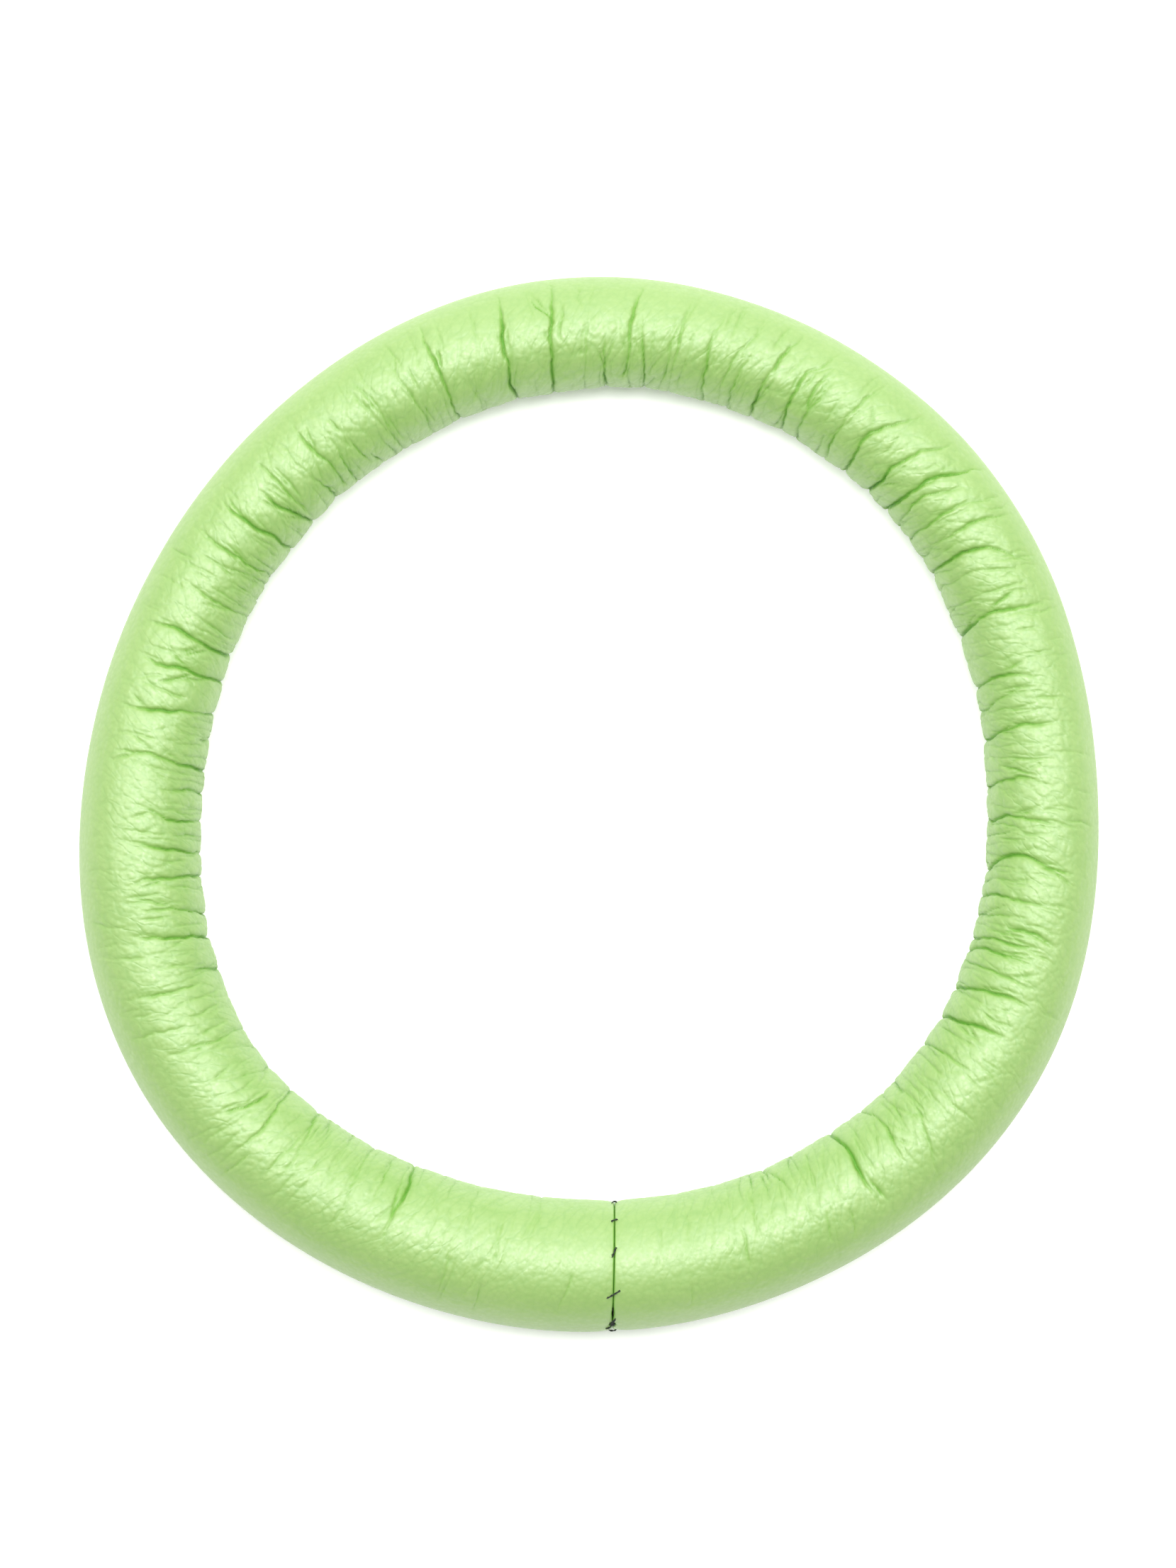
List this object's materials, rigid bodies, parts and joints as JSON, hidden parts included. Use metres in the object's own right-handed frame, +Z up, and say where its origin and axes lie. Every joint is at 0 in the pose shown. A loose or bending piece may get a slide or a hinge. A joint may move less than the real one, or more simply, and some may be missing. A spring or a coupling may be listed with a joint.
{
  "type": "padded leather wristband",
  "caption": "Closed ring of padded soft leather, worn loose on the wrist, with its ends drawn together by hand stitches.",
  "frame": {"origin": "under the middle of the ring, on the surface that it lies on", "axes": "+Z up through the wrist opening, +Y away from the closing seam, which is at -Y; the ring lies flat"},
  "size_m": [0.0828, 0.0857, 0.0107],
  "materials": {
    "cover_leather": "soft sheen, fine pebble grain",
    "hand_thread": "waxed, matt",
    "machine_thread": "matt",
    "foam": "matt, open cell",
    "tube_plastic": "satin",
    "rod_plastic": "satin",
    "cloth_tape": "matt"
  },
  "bodies": {
    "root": {"leather_cover": "cover_leather", "closing_thread": "hand_thread", "seam_needle_thread": "machine_thread", "seam_bobbin_thread": "machine_thread", "foam_sleeve": "foam", "core_tube": "tube_plastic", "joining_rod": "rod_plastic", "joint_wrap": "cloth_tape"}
  },
  "joints": []
}
